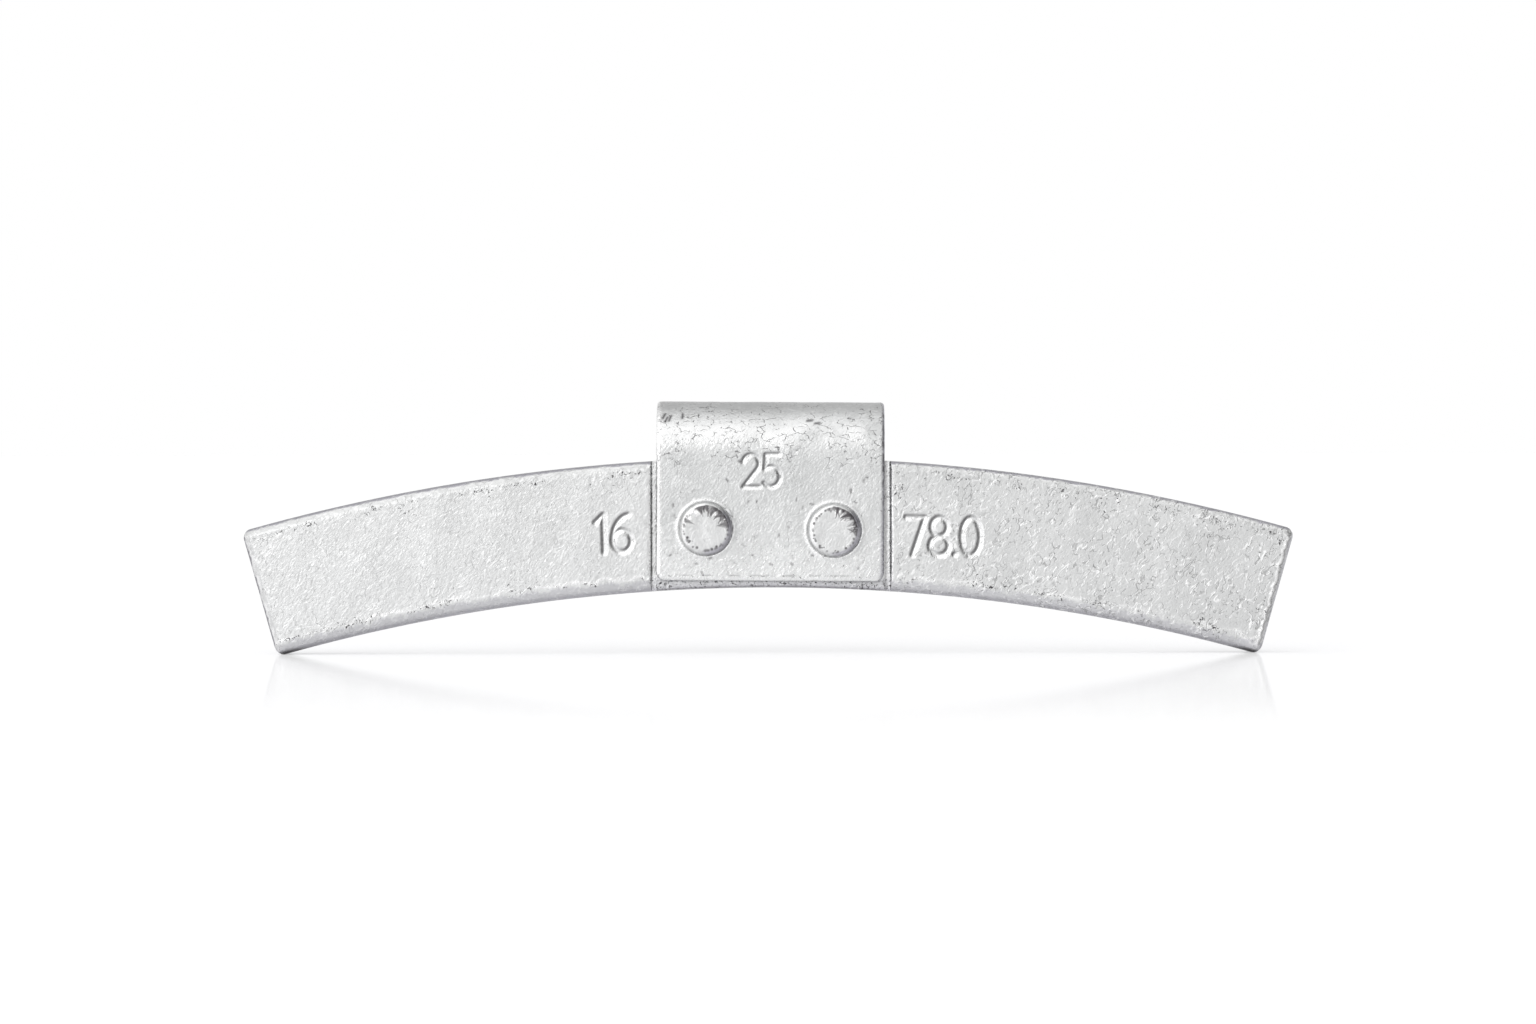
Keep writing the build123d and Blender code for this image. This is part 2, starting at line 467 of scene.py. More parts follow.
def closed_rings(rings):
    """Faces of a closed shape: quads between its rings of points, and a flat end at each side."""
    count, around = rings.shape[:2]
    ring = np.arange(count - 1)[:, None] * around
    here = np.arange(around)[None, :]
    after = (here + 1) % around
    quads = np.stack([ring + here, ring + after, ring + around + after, ring + around + here], axis=-1)
    ends = [list(range(around))[::-1], list(range((count - 1) * around, count * around))]
    return quads.reshape(-1, 4).tolist() + ends


# %% Displace the bar by its relief
rings = np.concatenate([end_points[0][::-1], points, end_points[1]])
outward = np.concatenate([end_outward[0][::-1], outward, end_outward[1]])
end_rows = len(end_points[0])
in_channel = np.pad(in_channel, ((end_rows, end_rows), (0, 0)))
x, y, z = np.moveaxis(rings, -1, 0)
front = ease(-outward[..., 1] / 0.2) * (1 - in_channel)
elsewhere = bar_map.read(plain_height, x, 3.0 + 0.9 * y + 0.8 * z)
lift = front * bar_map.read(bar_map.height, x, z) + (1 - front) * elsewhere
flat_rows = len(flat_shares) + 1
lift[:flat_rows] = lift[-flat_rows:] = 0
lift -= np.maximum(lift, 0) * ease((np.abs(outward[..., 0]) - 0.3) / 0.35)
slant = x / middle_radius
facing_out = np.abs(outward[..., 0] * np.sin(slant) + outward[..., 2] * np.cos(slant))
rings = rings + (lift * (1 - 0.8 * ease(facing_out / 0.5)))[..., None] * outward
print(f"the bar's relief goes from {lift.min():.3f} to {lift.max():.3f} mm")

# %% Painted shade and painted highlights of the bar, by their distance from its outline
radius_here, angle_here = np.hypot(x, z - axis_z), np.arctan2(x, z - axis_z)
top_gap, foot_gap = outer_radius - radius_here, radius_here - inner_radius
left_gap, right_gap = (middle_radius * (bar_half_angle + side * angle_here) for side in (1, -1))
ragged = bar_map.read(waves(bar_shape, 0.8, 91) + waves(bar_shape, 2.5, 92), x, z)

# Painted grey shade: a line along the top edge, a band along the foot, and lines at both ends.
painted_shade = ease((0.3 + 0.04 * ragged - top_gap) / 0.1)
painted_shade += 0.4 * ease((1.3 + 0.12 * ragged - foot_gap) / 0.18) + 0.6 * ease((0.7 - foot_gap) / 0.7)
painted_shade += ease((0.2 + 0.04 * ragged - left_gap) / 0.08)
painted_shade += 0.6 * ease((0.3 + 0.06 * ragged - right_gap) / 0.1)
# Painted highlights: a band just below the top edge and one just inside the left end.
bright = 0.4 * ease((0.5 + 0.09 * ragged - top_gap) / 0.14) * ease((top_gap - 0.24) / 0.1)
bright += 0.7 * ease((0.55 + 0.12 * ragged - left_gap) / 0.3) * ease((left_gap - 0.18) / 0.08)
bright += bar_map.read(bar_map.bright, x, z)
# Painted shade where the toes meet the table, and a dark painted line round the left end.
toe_shade = ease((1.0 - z) / 0.7) * ease((0.55 - foot_gap) / 0.4) * front
outline_shade = 0.5 * ease((0.17 + 0.05 * ragged - left_gap) / 0.07) * front
print("rubbed points of the bar:", (painted_shade > 0.5).sum())

# %% Painted shade and painted highlights in the channel, round the clip
clip_offset = 0.2
clip_turn = radians(0.4)
clip_foot_gap = 0.75
foot_z = axis_z + inner_radius + clip_foot_gap
beside_clip = np.abs(x - clip_offset) - clip_width / 2
from_wall = channel_floor - np.abs(x - channel_offset)
clip_foot = foot_z - (x - clip_offset) * tan(clip_turn)
under_foot = ease((clip_foot + 0.5 - z) / 0.3) * (outward[..., 1] < -0.3)
# Painted shade in the gaps beside the clip, strongest at its right, along its foot, and at the channel's
# lower edge.
crevice_shade = np.where(x < 0, 0.06 * band(beside_clip, 0, 0.1), 0.5 * band(beside_clip, 0.15, 0.25))
crevice_shade = np.maximum(crevice_shade, 0.3 * band(z - clip_foot, 0, 0.12) * (beside_clip < 0))
crevice_shade = np.maximum(crevice_shade, 0.55 * ease((0.32 - foot_gap) / 0.15) * (beside_clip < 0)) * in_channel
# Painted grey shade on the strip below the clip's foot, and painted highlights on the channel's floor,
# brightest by its walls.
channel_shade = in_channel * under_foot * (0.35 + 0.5 * ease((0.7 - foot_gap) / 0.6))
channel_highlight = np.where(from_wall > 0.1, 0.45, 0.9) * ease((from_wall + 0.5) / 0.1)
channel_highlight *= in_channel * (1 - under_foot * (beside_clip < 0))
print("points in the channel:", (in_channel > 0.5).sum())

# %% Make the bar with its layers
crinkled = (0.45 + 0.9 * ease((x + 12) / 40)) * bar_map.read(patchy[1], x, z)
wear = front * (bar_map.read(bar_map.wear, x, z) + 0.14 * crinkled) + in_channel * under_foot
steel_bar = make_piece("steel_bar", rings, closed_rings(rings), {
    "stain": np.max([front * bar_map.read(bar_map.stain, x, z), crevice_shade, toe_shade, outline_shade], axis=0),
    "wear": np.clip(wear, 0, 1),
    "painted_shade": np.maximum(np.clip(painted_shade, 0, 1) * front, channel_shade),
    "bright": np.maximum(np.clip(bright, 0, 1) * front, channel_highlight),
    "crinkled": 0.4 + crinkled,
})

# %% [markdown]
# ## Punch marks in the back
#
# The two studs were pushed out of the bar from behind, so the back has two round punch marks. They
# are cut with a Boolean modifier, which is then applied, because a hole is awkward to weave into a
# ring of quads and the back needs no fine mesh.

# %% Cut the punch marks
stud_pitch = 14.4
stud_below_top = 8.05
stud_reach = stud_pitch / 2
stud_z = bar_high[2] - stud_below_top
stud_turn = radians(0.85)


def turn_in_seat(points, turn):
    """Turns points about the middle between the studs, clockwise as seen from the front."""
    x, z = points[..., 0], points[..., 2] - stud_z
    turned_x = clip_offset + x * cos(turn) + z * sin(turn)
    turned_z = stud_z - x * sin(turn) + z * cos(turn)
    return np.stack([turned_x, points[..., 1], turned_z], axis=-1)


def cut_at_studs(piece, profile, sides):
    """Takes a round shape, given by its radii and depths, out of a piece at each stud."""
    turn = np.linspace(0, 2 * pi, sides, endpoint=False)
    radius, depth = (np.array(profile)[:, n, None] for n in (0, 1))
    tools = []
    for x, z in stud_centres:
        rings = np.stack([x + radius * np.cos(turn), depth + 0 * turn, z + radius * np.sin(turn)], axis=-1)
        tools.append(make_piece("tool", rings, closed_rings(rings), {}))
        modifier = piece.modifiers.new("cut", "BOOLEAN")
        modifier.operation = "DIFFERENCE"
        modifier.solver = "EXACT"
        modifier.object = tools[-1]
    shown = piece.evaluated_get(bpy.context.evaluated_depsgraph_get())
    mesh = bpy.data.meshes.new_from_object(shown)
    mesh.set_sharp_from_angle(angle=radians(50))
    piece.modifiers.clear()
    piece.data = mesh
    for tool in tools:
        bpy.data.objects.remove(tool)
    print(piece.name, "now has", len(mesh.polygons), "faces")


back_y = face_y + bar_thickness
stud_centres = np.array([(-stud_reach, 0, stud_z), (stud_reach, 0, stud_z)])
stud_centres = turn_in_seat(stud_centres, stud_turn)[:, [0, 2]]
punch_profile = [(2.6, back_y + 0.3), (2.4, back_y - 0.05), (2.32, back_y - 0.2), (2.3, back_y - 1.8),
                 (2.15, back_y - 2.1), (1.9, back_y - 2.2), (0.6, back_y - 2.2)]
cut_at_studs(steel_bar, punch_profile, 64)

# %% [markdown]
# ## The clip's relief
#
# The clip is smoother than the bar. Its creases are fewer and longer, the bend over the top has cracked
# the coat in jagged, mostly level lines, an upper corner is chipped, and small nicks are all over it.
# Staking the studs has raised a narrow collar round each head. The path could be read off the solid, but
# five runs of known length and bend are simpler. The map is the strip laid flat: across its width, and
# along it from the foot.

# %% Path of the strip from its foot, up its seat and over the rim's lip
clip_thickness = 1.1
clip_rise = 6.25
hook_radius = 5.5
hook_lean = radians(15)
hook_leg = 3.2
tip_bend = radians(40)
tip_bend_radius = 1.25
tip_length = 2.0

hook_z = axis_z + outer_radius + clip_rise - hook_radius
curl_radius = hook_radius - clip_thickness / 2
bend_radius = tip_bend_radius + clip_thickness / 2
seat_length = hook_z - foot_z
curl_length = curl_radius * (pi + hook_lean)
bend_length = bend_radius * tip_bend
runs = [
    (seat_length, 0), (curl_length, 1 / curl_radius), (hook_leg, 0),
    (bend_length, -1 / bend_radius), (tip_length, 0),
]
strip_length = sum(length for length, _ in runs)


def along_strip(s):
    """Depth, level and heading of the strip's middle at lengths s from its foot."""
    depth = np.full_like(s, clip_thickness / 2)
    level = np.full_like(s, foot_z)
    heading = np.zeros_like(s)
    start = 0.0
    for length, bend in runs:
        part = np.clip(s - start, 0, length)
        if bend:
            turned = heading + bend * part
            depth += (np.cos(heading) - np.cos(turned)) / bend
            level += (np.sin(turned) - np.sin(heading)) / bend
            heading = turned
        else:
            depth += part * np.sin(heading)
            level += part * np.cos(heading)
        start += length
    return depth, level, heading


print(f"the strip is {strip_length:.2f} mm long")

# %% Crinkle the clip
clip_map = ReliefMap((-13.5, -0.5), (13.5, strip_length + 0.5))
clip_shape = clip_map.height.shape
clip_map.height += 0.012 * waves(clip_shape, 7.0, 151) + 0.003 * waves(clip_shape, 1.8, 161)
clip_map.height += 0.012 * creases(clip_shape, 2.6, 0.14, 0.2, 111)
clip_map.height -= 0.012 * creases(clip_shape, 1.9, 0.13, 0.18, 121)
print(f"clip's crinkles stand {clip_map.height.std():.4f} mm from flat")

# %% Cracks over the clip's bend, chips at a corner, and nicks
u, v = clip_map.u, clip_map.v
from_bend = v - seat_length
cracked = band(from_bend, 2.6, 3.2) * np.ones(clip_shape) + 0.22
cracked *= ease(0.75 + 0.4 * waves(clip_shape, 5.0, 172))
by_corner = np.hypot((u + 11.6) / 0.9, (from_bend - 3.4) / 0.9)
corner_chips = [
    ((-12.1, 3.5), (-11.8, 4.2)), ((-11.8, 3.1), (-11.55, 3.7)), ((-11.4, 3.2), (-11.15, 3.9)),
    ((-9.9, 3.6), (-9.85, 4.2)), ((4.1, 3.3), (4.7, 3.4)), ((5.0, 3.0), (5.5, 3.05)),
]
for chip in corner_chips:
    clip_map.mark(np.array(chip) + (0, seat_length), width=0.13, height=-0.025, stain=1.0)

draw = np.random.default_rng(191)
nick_count = 40
for _ in range(nick_count):
    middle = np.array((draw.uniform(-11.5, 11.5), draw.uniform(0.8, 14.5)))
    slope, length = radians(draw.normal(-50, 35)), draw.uniform(0.1, 0.45)
    reach = length / 2 * np.array((cos(slope), sin(slope)))
    width, stain = draw.uniform(0.07, 0.12), draw.uniform(0.3, 1.0)
    clip_map.mark([middle - reach, middle + reach], width, -0.02, stain)
print("the clip has", len(corner_chips), "chips and", nick_count, "nicks")

# %% Worn edges of the clip, painted highlights, and dark lines near its edges
right_edge = band(u, 12.45, 0.28) * ease((v - 6.0) / 2)
foot_edge = band(v, 0.5, 0.25) * ease(0.5 + 0.7 * waves(clip_shape, 4.0, 173))
corner_wear = 0.8 * band(by_corner, 0, 1)
clip_map.wear = np.clip(0.2 + corner_wear + 0.7 * right_edge + 0.7 * foot_edge, 0, 1)
# Painted highlights: patches over the bend, a gentle lightening towards the foot, and bands along the left
# edge and the foot.
highlight_patches = ease(0.72 + 0.25 * waves(clip_shape, 4.5, 181) - 0.03 * u)
clip_map.bright += 0.7 * band(from_bend, 1.8, 1.5) * highlight_patches
clip_map.bright += 0.3 * ease((8.0 - v) / 8.0) * np.ones(clip_shape)
clip_map.bright += band(u, -clip_width / 2 + 0.2, 0.28) + 0.2 * band(v, 0.22, 0.2)
# Dark lines: a broken one just above the foot, a ragged one along the right edge, and a faint one inside
# the left edge.
foot_line = band(v, 0.6, 0.07) * ease(0.6 + 0.7 * waves(clip_shape, 2.5, 187))
clip_map.stain += 0.5 * foot_line * ease((clip_width / 2 - 0.8 - np.abs(u)) / 0.5)

ragged_edge = ease(0.4 + 0.8 * waves(clip_shape, 1.4, 186)) * ease((v - 7.0) / 4)
ragged_edge *= ease((6.5 - from_bend) / 3)
clip_map.stain += 0.8 * band(u, clip_width / 2 - 0.12, 0.14) * ragged_edge
inside_left = band(u, -clip_width / 2 + 0.5, 0.07) * ease((v - 7.0) / 3)
clip_map.stain += 0.35 * inside_left * ease(0.6 + 0.6 * waves(clip_shape, 3.0, 185))
print(f"mean wear of the clip: {clip_map.wear.mean():.3f}")

# %% Collars round the heads, and a number
stud_radius = 2.4
head_radius = 2.95
collar_radius = 3.2
for stud_u in (-stud_reach, stud_reach):
    stud_v = stud_z - foot_z - stud_u * sin(stud_turn - clip_turn)
    reach = np.hypot(u - stud_u, v - stud_v)
    clip_map.height += 0.085 * band(reach, collar_radius, 0.17) * (reach > stud_radius)
    # Painted shade in the crevice round each head, stronger towards the lower right, and a painted
    # highlight on the collar's upper left.
    away = ease(0.5 + 0.6 * ((u - stud_u) - 0.6 * (v - stud_v)) / 3)
    crevice_shade = (0.25 + 0.6 * away) * band(reach, head_radius + 0.04, 0.06)
    clip_map.stain = np.maximum(clip_map.stain, crevice_shade)
    clip_map.bright += 0.8 * (1 - away) * band(reach, collar_radius + 0.05, 0.12)
stamp(clip_map, "25", left=-3.0, foot=18.7 - foot_z, tall=3.6, tilt=radians(1.0), depth=0.22, groove=0.36)

# %% [markdown]
# ## The clip
#
# A bent strip could be a bevelled curve or a solidified sheet. Here two sheets of quads, outside and
# inside, follow the bent path and close in on each other towards the outline, which gives the strip its
# rounded edges and corners without a bevel. The outside one reads the relief.

# %% Places across and along the clip's sheets
edge_steps = np.array([0, 0.02, 0.06, 0.12, 0.19, 0.28, 0.38])
edge_zone = 0.48


def graded(length, fine, coarse, change):
    """Places along a length: close at both edges, fine up to a change, then coarse."""
    body = np.concatenate([steps(edge_zone, change, fine), steps(change, length - edge_zone, coarse)])
    return np.concatenate([edge_steps, body, [length - edge_zone], length - edge_steps[::-1]])


strip_rows = graded(strip_length, 0.135, 0.36, seat_length + 0.62 * curl_length)
strip_columns = graded(clip_width, 0.135, 0.135, clip_width / 2) - clip_width / 2
across, s = np.meshgrid(strip_columns, strip_rows)
from_side = clip_width / 2 - np.abs(across)


def corner_loss(corner):
    """How much shorter the strip is at each place across it, because its corners are round."""
    inside = np.clip(corner - from_side, 0, corner)
    return corner - np.sqrt(np.maximum(corner ** 2 - inside ** 2, 0))


foot_corner, tip_corner = 1.1, 1.8
s = s + corner_loss(foot_corner) * np.clip(1 - s / 3, 0, 1)
s = s - corner_loss(tip_corner) * np.clip(1 - (strip_length - s) / 4, 0, 1)
print("the clip's sheets have", across.shape, "points")

# %% Thickness of the clip, rounded off towards its outline
edge_radius = 0.4


def from_outline(corner, from_end):
    """Distance from the strip's outline near one end with round corners."""
    plain = np.minimum(from_side, from_end)
    round_one = corner - np.hypot(corner - from_side, corner - from_end)
    return np.where((from_side < corner) & (from_end < corner), round_one, plain)


to_outline = np.minimum(from_outline(foot_corner, s), from_outline(tip_corner, strip_length - s))
to_outline = np.clip(to_outline, 0, edge_radius)
half = clip_thickness / 2 - edge_radius + np.sqrt(edge_radius ** 2 - (edge_radius - to_outline) ** 2)

depth, level, heading = along_strip(s)
relief = clip_map.read(clip_map.height, across, s)
relief -= (np.maximum(relief, 0) + 0.004) * ease(heading / 0.9)


def sheet_points(rise):
    """Points at a height over the strip's middle, towards the outside of the bend."""
    y = depth - rise * np.cos(heading) + face_y
    z = level + rise * np.sin(heading)
    return turn_in_seat(np.stack([across, y, z], axis=-1), clip_turn)


outside = sheet_points(half + relief)
inside = sheet_points(-half)
print(f"the clip's top is at z = {outside[..., 2].max():.3f}")


# %% Stitch the sheets together
def sheet_quads(rows, columns, first, flip):
    """Quads of a sheet of points."""
    corner = (np.arange(rows - 1)[:, None] * columns + np.arange(columns - 1)[None, :] + first).ravel()
    quads = np.stack([corner, corner + 1, corner + columns + 1, corner + columns], axis=1)
    return (quads[:, ::-1] if flip else quads).tolist()


rows, columns = across.shape
count = rows * columns
border = np.concatenate([
    np.arange(columns),
    np.arange(1, rows) * columns + columns - 1,
    (rows - 1) * columns + np.arange(columns - 2, -1, -1),
    np.arange(rows - 2, 0, -1) * columns,
])
after = np.roll(border, -1)
stitches = np.stack([border, border + count, after + count, after], axis=1).tolist()
clip_faces = sheet_quads(rows, columns, 0, False) + sheet_quads(rows, columns, count, True) + stitches
print("the sheets are joined by", len(stitches), "faces")

# %% Make the clip with its layers and pierce the stud holes
crinkled = 0.55 + 0.15 * ease((9.0 - v) / 7.0) * np.ones(clip_shape)
clip_layers = {
    "stain": clip_map.stain, "wear": clip_map.wear, "bright": clip_map.bright,
    "crack": cracked, "crinkled": crinkled,
}
for layer, values in clip_layers.items():
    clip_layers[layer] = np.stack([clip_map.read(values, across, s), 0 * s])
# Painted grey shade on the clip's rounded foot edge and along its right edge.
down = ease(1 - from_outline(foot_corner, s) / 0.07) * ease((2.0 - s) / 1.0)
right_side_shade = ease(1 - (clip_width / 2 - across) / (0.42 + 0.25 * ease((9.0 - s) / 4.0)))
clip_layers["painted_shade"] = np.stack([np.maximum(down, right_side_shade), 0 * s])
spring_clip = make_piece("spring_clip", np.stack([outside, inside]), clip_faces, clip_layers)
stud_clearance = 0.05
hole_radius = stud_radius + stud_clearance
cut_at_studs(spring_clip, [(hole_radius, face_y + 3.0), (hole_radius, face_y - 3.0)], 96)

# %% [markdown]
# ## The staked heads
#
# Each stud was mushroomed over the clip by a blow, so its head is a low round button with a flat top,
# not quite round, and with flakes of dark scale left near its upper rim. A lathe would make it too
# perfect, so the rings are lathed and then pushed about.

# %% Shape of a head
head_edge_radius = 0.65
flat_radius = head_radius - head_edge_radius
head_turn = np.linspace(0, 2 * pi, 180, endpoint=False)


def head_shape(draw, seed):
    """Radius and rise of each point of a head and its shank, and how much it belongs to the top."""
    edge = np.radians(np.linspace(0, 90, 13))
    wall = head_height - head_edge_radius
    radii = np.concatenate([
        [stud_radius, stud_radius, head_radius - 0.02],
        flat_radius + head_edge_radius * np.cos(edge), np.linspace(flat_radius - 0.07, 0.12, 32)])[:, None]
    lifts = np.concatenate([
        [-2.3, -0.02, -0.02], wall + head_edge_radius * np.sin(edge), np.full(32, head_height)])[:, None]
    wobble = 0
    for n in (2, 3, 4, 5, 7):
        wobble = wobble + draw.normal(0, 0.03 / n) * np.cos(n * head_turn + draw.uniform(0, 6))
    radius = radii * (1 + wobble * ease((radii - 1.5) / 1.4) / head_radius)
    top = ease((lifts - 0.45) / 0.25)
    face = ReliefMap((-3.3, -3.3), (3.3, 3.3))
    face.height += 0.012 * waves(face.height.shape, 2.4, seed + 1)
    face.height += 0.01 * creases(face.height.shape, 1.2, 0.1, 0.3, seed + 2)
    bumps = face.read(face.height, radius * np.cos(head_turn), radius * np.sin(head_turn))
    return radius, lifts - 0.01 * top + top * np.minimum(bumps, 0.01), top


# %% Dark scale on a head: flakes by its upper rim, and dots all round
FLAKES = [
    {"middle": 64, "spread": 36, "widest": 0.7, "faintest": 0.55},
    {"middle": 50, "spread": 26, "widest": 0.55, "faintest": 0.4},
]
flake_radius = 2.1


def head_scale(draw, kind, radius):
    """Stain and brightness of a head's flakes and dots. Every third flake is bright."""
    stain, bright = np.zeros_like(radius), np.zeros_like(radius)
    for flake in range(60):
        middle = radians(draw.normal(kind["middle"], kind["spread"]))
        length, half = draw.uniform(0.25, 1.25), draw.uniform(0.1, kind["widest"])
        aside = np.angle(np.exp(1j * (head_turn - middle))) * flake_radius
        aside = aside + draw.normal(0, 0.4) * (radius - flat_radius)
        inward = (flat_radius + 0.24 - radius) / length
        tooth = ease(1.4 - 1.4 * np.abs(aside) / (half * np.clip(1.15 - inward, 0.05, 1)))
        tooth *= (inward > -0.1) & (inward < 1.1)
        if flake % 3 == 2:
            bright = np.maximum(bright, tooth)
        else:
            stain = np.maximum(stain, draw.uniform(kind["faintest"], 1.0) * tooth)
    x, z = radius * np.cos(head_turn), radius * np.sin(head_turn)
    for _ in range(60):
        middle, out = radians(draw.uniform(0, 360)), flat_radius + draw.normal(0.12, 0.07)
        gap = np.hypot(x - out * cos(middle), z - out * sin(middle))
        stain = np.maximum(stain, draw.uniform(0.5, 0.95) * ease(1.5 - gap / draw.uniform(0.07, 0.17)))
    return stain, bright


# %% Lathe both heads as one piece
def head_rings(centre, kind, seed):
    """Points and layers of one head, with its shank going down through the clip."""
    draw = np.random.default_rng(seed)
    radius, rise, top = head_shape(draw, seed)
    stain, bright = head_scale(draw, kind, radius)
    x, z = centre[0] + radius * np.cos(head_turn), centre[1] + radius * np.sin(head_turn)
    # A painted highlight on the upper left of the head's rounded edge, and painted grey shade on its lower
    # right.
    away = np.cos(head_turn + radians(25)) * np.ones_like(radius)
    on_edge = ease((radius - flat_radius - 0.08) / 0.2)
    lit = ease((-away - 0.15) / 0.5) * on_edge * ease((head_radius - 0.06 - radius) / 0.1)
    painted_shade = 0.95 * ease((away - 0.05) / 0.6) * on_edge
    return np.stack([x, face_y - rise, z], axis=-1), {
        "stain": stain * top, "bright": np.maximum(bright, lit), "painted_shade": painted_shade,
        "crinkled": np.full_like(radius, 0.45),
    }


head_points, head_faces, head_layers = [], [], []
for number, centre in enumerate(stud_centres):
    rings, layers = head_rings(centre, FLAKES[number], 201 + 10 * number)
    first = number * rings.size // 3
    head_faces += [[first + n for n in face] for face in closed_rings(rings)]
    head_points.append(rings)
    head_layers.append(layers)
stud_heads = make_piece("stud_heads", np.stack(head_points), head_faces, {
    name: np.stack([layers[name] for layers in head_layers]) for name in head_layers[0]
})

# %% [markdown]
# ## The zinc coat
#
# Bar, clip and heads share one coat of zinc flakes, which is a satin metal: bright, with no mirror
# image in it. A metallic Principled shader with a middling roughness gives that. Noise at several sizes
# mottles its colour and roughness, and a bump adds the grain that is too small for the mesh. The numbers
# on the vertices say where it differs: stained, painted with shade, worn into dark spots, cracked,
# painted a shaded grey, painted with highlights that are also smoother, or more crinkled. The
# crinkles' ridges are painted lighter and their furrows darker.

# %% Shorthand for nodes
def node(tree, kind, links=None, **settings):
    """Adds a shader node, sets its properties and inputs, and links inputs to other sockets."""
    made = tree.nodes.new("ShaderNode" + kind)
    for name, value in settings.items():
        setattr(made, name, value)
    for name, value in (links or {}).items():
        if isinstance(value, bpy.types.NodeSocket):
            tree.links.new(value, made.inputs[name])
        else:
            made.inputs[name].default_value = value
    return made


def calc(tree, operation, *values):
    """One step of arithmetic."""
    return node(tree, "Math", dict(enumerate(values)), operation=operation).outputs[0]


def between(tree, value, low, high, start=0.0, end=1.0):
    """A soft step from start to end as a value goes from low to high."""
    return node(tree, "MapRange", {
        "Value": value, "From Min": low, "From Max": high, "To Min": start, "To Max": end,
    }, interpolation_type="SMOOTHSTEP").outputs["Result"]


def noise(tree, place, scale, detail=2.0, distortion=0.0):
    """Cloudy noise, with about this many clouds a metre."""
    return node(tree, "TexNoise", {
        "Vector": place, "Scale": scale, "Detail": detail, "Distortion": distortion,
    }).outputs["Fac"]


def tint(tree, share, a, b):
    """A colour between a and b."""
    return node(tree, "Mix", {0: share, 6: a, 7: b}, data_type="RGBA").outputs[2]


# %% Lines and cracks made of noise
def moved(tree, place, *offset):
    """The same place, somewhere else in the noise."""
    return node(tree, "VectorMath", {0: place, 1: offset}, operation="ADD").outputs[0]


def lines(tree, place, scale, width, gate_low, gate_high):
    """Short crooked lines: where a noise crosses its middle, let through by a second noise."""
    field = noise(tree, place, scale, 1.0, 0.4)
    off = calc(tree, "ABSOLUTE", calc(tree, "SUBTRACT", field, 0.5))
    gate = noise(tree, moved(tree, place, 0.31, 0.17, 0.43), 1.2 * scale)
    return calc(tree, "MULTIPLY", between(tree, off, width, 0.0), between(tree, gate, gate_low, gate_high))


def crack_net(tree, place):
    """A broken net of jagged lines, wider than it is tall: the borders of random cells."""
    jag = node(tree, "TexNoise", {"Vector": place, "Scale": 1500.0, "Detail": 2.0}).outputs["Color"]
    jag = node(tree, "VectorMath", {0: jag, "Scale": 0.0007}, operation="SCALE").outputs[0]
    place = node(tree, "VectorMath", {0: place, 1: jag}, operation="ADD").outputs[0]
    place = node(tree, "Mapping", {"Vector": place, "Scale": (1.0, 1.8, 1.8)}).outputs[0]
    cells = node(tree, "TexVoronoi", {"Vector": place, "Scale": 600.0}, feature="DISTANCE_TO_EDGE")
    gate = between(tree, noise(tree, place, 1300.0), 0.48, 0.54)
    return calc(tree, "MULTIPLY", between(tree, cells.outputs["Distance"], 0.035, 0.0), gate)


# %% Crinkles and dark marks of the coat
def crinkle_lines(tree, place, crinkled):
    """Ridges and furrows, as strong as the mesh says."""
    ridges = lines(tree, place, 1250.0, 0.06, 0.47, 0.53)
    furrows = lines(tree, moved(tree, place, 0.7, 0.2, 0.5), 1450.0, 0.05, 0.47, 0.53)
    return calc(tree, "MULTIPLY", ridges, crinkled), calc(tree, "MULTIPLY", furrows, crinkled)


def dark_marks(tree, place, layer):
    """Spots where the coat is worn, cracks where it was bent, and the mesh's own stains and painted shade.
    """
    spots = calc(tree, "MULTIPLY_ADD", layer["wear"], 0.165, noise(tree, place, 3600.0, 3.0, 1.2))
    cracks = calc(tree, "MULTIPLY", crack_net(tree, place), between(tree, layer["crack"], 0.1, 0.6))
    cracks = calc(tree, "MULTIPLY", cracks, 0.85)
    dark = calc(tree, "MAXIMUM", between(tree, spots, 0.75, 0.8), cracks)
    return calc(tree, "MAXIMUM", dark, layer["stain"])


# %% The coat itself
# Painted highlight white, painted grey shade, painted shade for furrows, and dark scale that also serves as
# painted shade.
HIGHLIGHT_WHITE = (0.93, 0.93, 0.93, 1.0)
PAINTED_SHADE_GREY = (0.42, 0.412, 0.455, 1.0)
FURROW_SHADE_GREY = (0.3, 0.3, 0.3, 1.0)
DARK_SCALE_AND_SHADE = (0.085, 0.08, 0.085, 1.0)
LAYERS = ("stain", "wear", "crack", "painted_shade", "bright", "crinkled")


